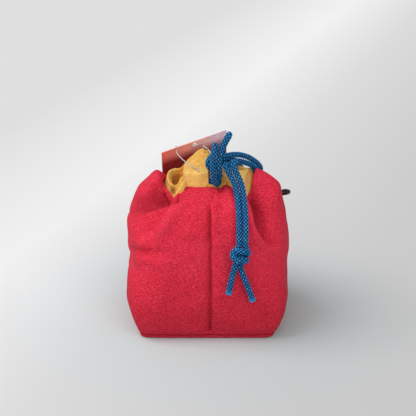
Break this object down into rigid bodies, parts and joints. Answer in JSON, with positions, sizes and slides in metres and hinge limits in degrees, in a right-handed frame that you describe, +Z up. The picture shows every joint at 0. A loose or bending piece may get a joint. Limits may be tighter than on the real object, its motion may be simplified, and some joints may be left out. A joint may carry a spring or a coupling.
{
  "type": "drawstring pouch",
  "caption": "Small padded cloth pouch on a flat base, with a gathered collar drawn shut by a braided cord tied in a bow, and a swing tag on a filament.",
  "frame": {"origin": "centre of the flat underside of the outer base panel", "axes": "+Z up, towards the collar; -Y towards the front, where the bow is; +X to the right of someone who looks at the front"},
  "size_m": [0.1036, 0.1233, 0.1278],
  "materials": {
    "outer_left_panel": "red crepe cloth",
    "outer_right_panel": "red crepe cloth",
    "outer_base_panel": "red crepe cloth",
    "wall_wadding": "white wadding",
    "base_wadding": "white wadding",
    "base_board": "grey card board",
    "lining_wall": "yellow felt-like cloth",
    "lining_base": "yellow felt-like cloth",
    "collar_channel": "yellow felt-like cloth",
    "drawstring_channel_run": "blue braided cord",
    "drawstring_left_bow": "blue braided cord",
    "drawstring_right_bow": "blue braided cord",
    "drawstring_left_tail": "blue braided cord",
    "drawstring_right_tail": "blue braided cord",
    "hanging_loop": "thin black cord",
    "tag_card": "glossy printed card",
    "tag_fastener_loop": "clear plastic filament",
    "tag_fastener_head": "clear plastic"
  },
  "bodies": {
    "pouch": {"outer_left_panel": "outer_left_panel", "outer_right_panel": "outer_right_panel", "outer_base_panel": "outer_base_panel", "wall_wadding": "wall_wadding", "base_wadding": "base_wadding", "base_board": "base_board", "lining_wall": "lining_wall", "lining_base": "lining_base", "collar_channel": "collar_channel", "drawstring_channel_run": "drawstring_channel_run", "drawstring_left_bow": "drawstring_left_bow", "drawstring_right_bow": "drawstring_right_bow", "hanging_loop": "hanging_loop", "tag_fastener_loop": "tag_fastener_loop"},
    "tails": {"drawstring_left_tail": "drawstring_left_tail", "drawstring_right_tail": "drawstring_right_tail"},
    "tag": {"tag_card": "tag_card", "tag_fastener_head": "tag_fastener_head"}
  },
  "joints": [
    {"name": "tails_swing", "type": "hinge", "parent": "pouch", "child": "tails", "pos_m": [0.0152, -0.031, 0.1059], "axis": [-1, 0, 0], "range_deg": [0, 60]},
    {"name": "tag_swing", "type": "hinge", "parent": "pouch", "child": "tag", "pos_m": [-0.00839, 0.03618, 0.10356], "axis": [0.883, 0.4215, 0.2065], "range_deg": [0, 60], "deforming": ["tag_fastener_loop"]}
  ]
}
